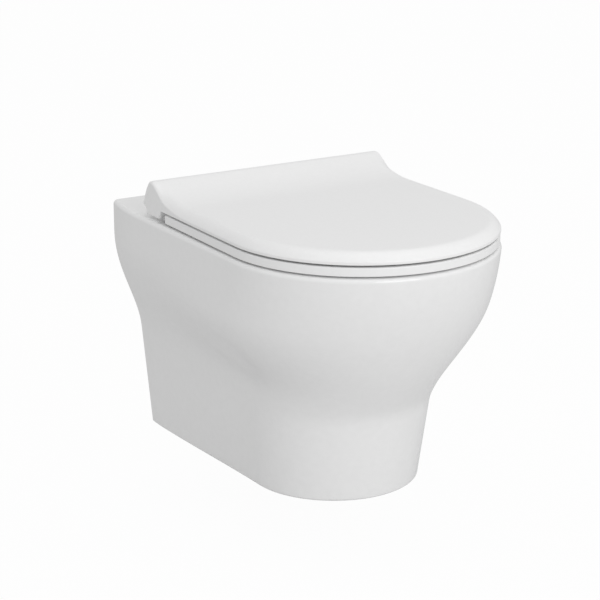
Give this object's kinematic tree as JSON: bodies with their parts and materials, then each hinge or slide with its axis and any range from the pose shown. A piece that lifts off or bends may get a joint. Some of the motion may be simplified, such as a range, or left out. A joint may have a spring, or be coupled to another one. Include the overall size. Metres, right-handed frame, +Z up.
{
  "type": "wall hung toilet",
  "caption": "Wall hung toilet: a D-shaped ceramic pan on a raked skirt, with a seat ring and a slim lid that swing up on a hinge line under the lid's raised rear hood.",
  "frame": {"origin": "on the wall face, midway between the two wall studs that carry the pan", "axes": "+Z up, +Y into the wall, so the pan reaches out along -Y; +X is to the right of someone who faces the wall"},
  "size_m": [0.3606, 0.5251, 0.3766],
  "materials": {
    "white_glaze": "gloss",
    "white_duroplast": "gloss",
    "stainless": "satin",
    "grey_rubber": "matte",
    "clear_bumper": "satin",
    "white_nylon": "matte",
    "grey_nylon": "matte"
  },
  "bodies": {
    "pan": {"pan": "white_glaze", "bowl": "white_glaze", "trapway": "white_glaze", "inlet_socket": "white_glaze", "stud_sleeves": "white_nylon", "hinge_pads": "grey_rubber", "hinge_bracket_left": "stainless", "hinge_bracket_right": "stainless", "hinge_pin_left": "stainless", "hinge_pin_right": "stainless", "seat_studs": "stainless", "cone_washers": "grey_rubber", "seat_washers": "white_nylon", "wing_nuts": "white_nylon"},
    "seat": {"seat_ring": "white_duroplast", "seat_buffers": "clear_bumper", "seat_damper": "grey_nylon", "seat_bush": "white_nylon"},
    "lid": {"lid": "white_duroplast", "lid_buffers": "clear_bumper", "lid_bush": "white_nylon", "lid_damper": "grey_nylon"}
  },
  "joints": [
    {"name": "seat_hinge", "type": "hinge", "parent": "pan", "child": "seat", "pos_m": [0, -0.118, 0.103], "axis": [-1, 0, 0], "range_deg": [0, 94]},
    {"name": "lid_hinge", "type": "hinge", "parent": "seat", "child": "lid", "pos_m": [0, -0.118, 0.103], "axis": [-1, 0, 0], "range_deg": [0, 94]}
  ]
}
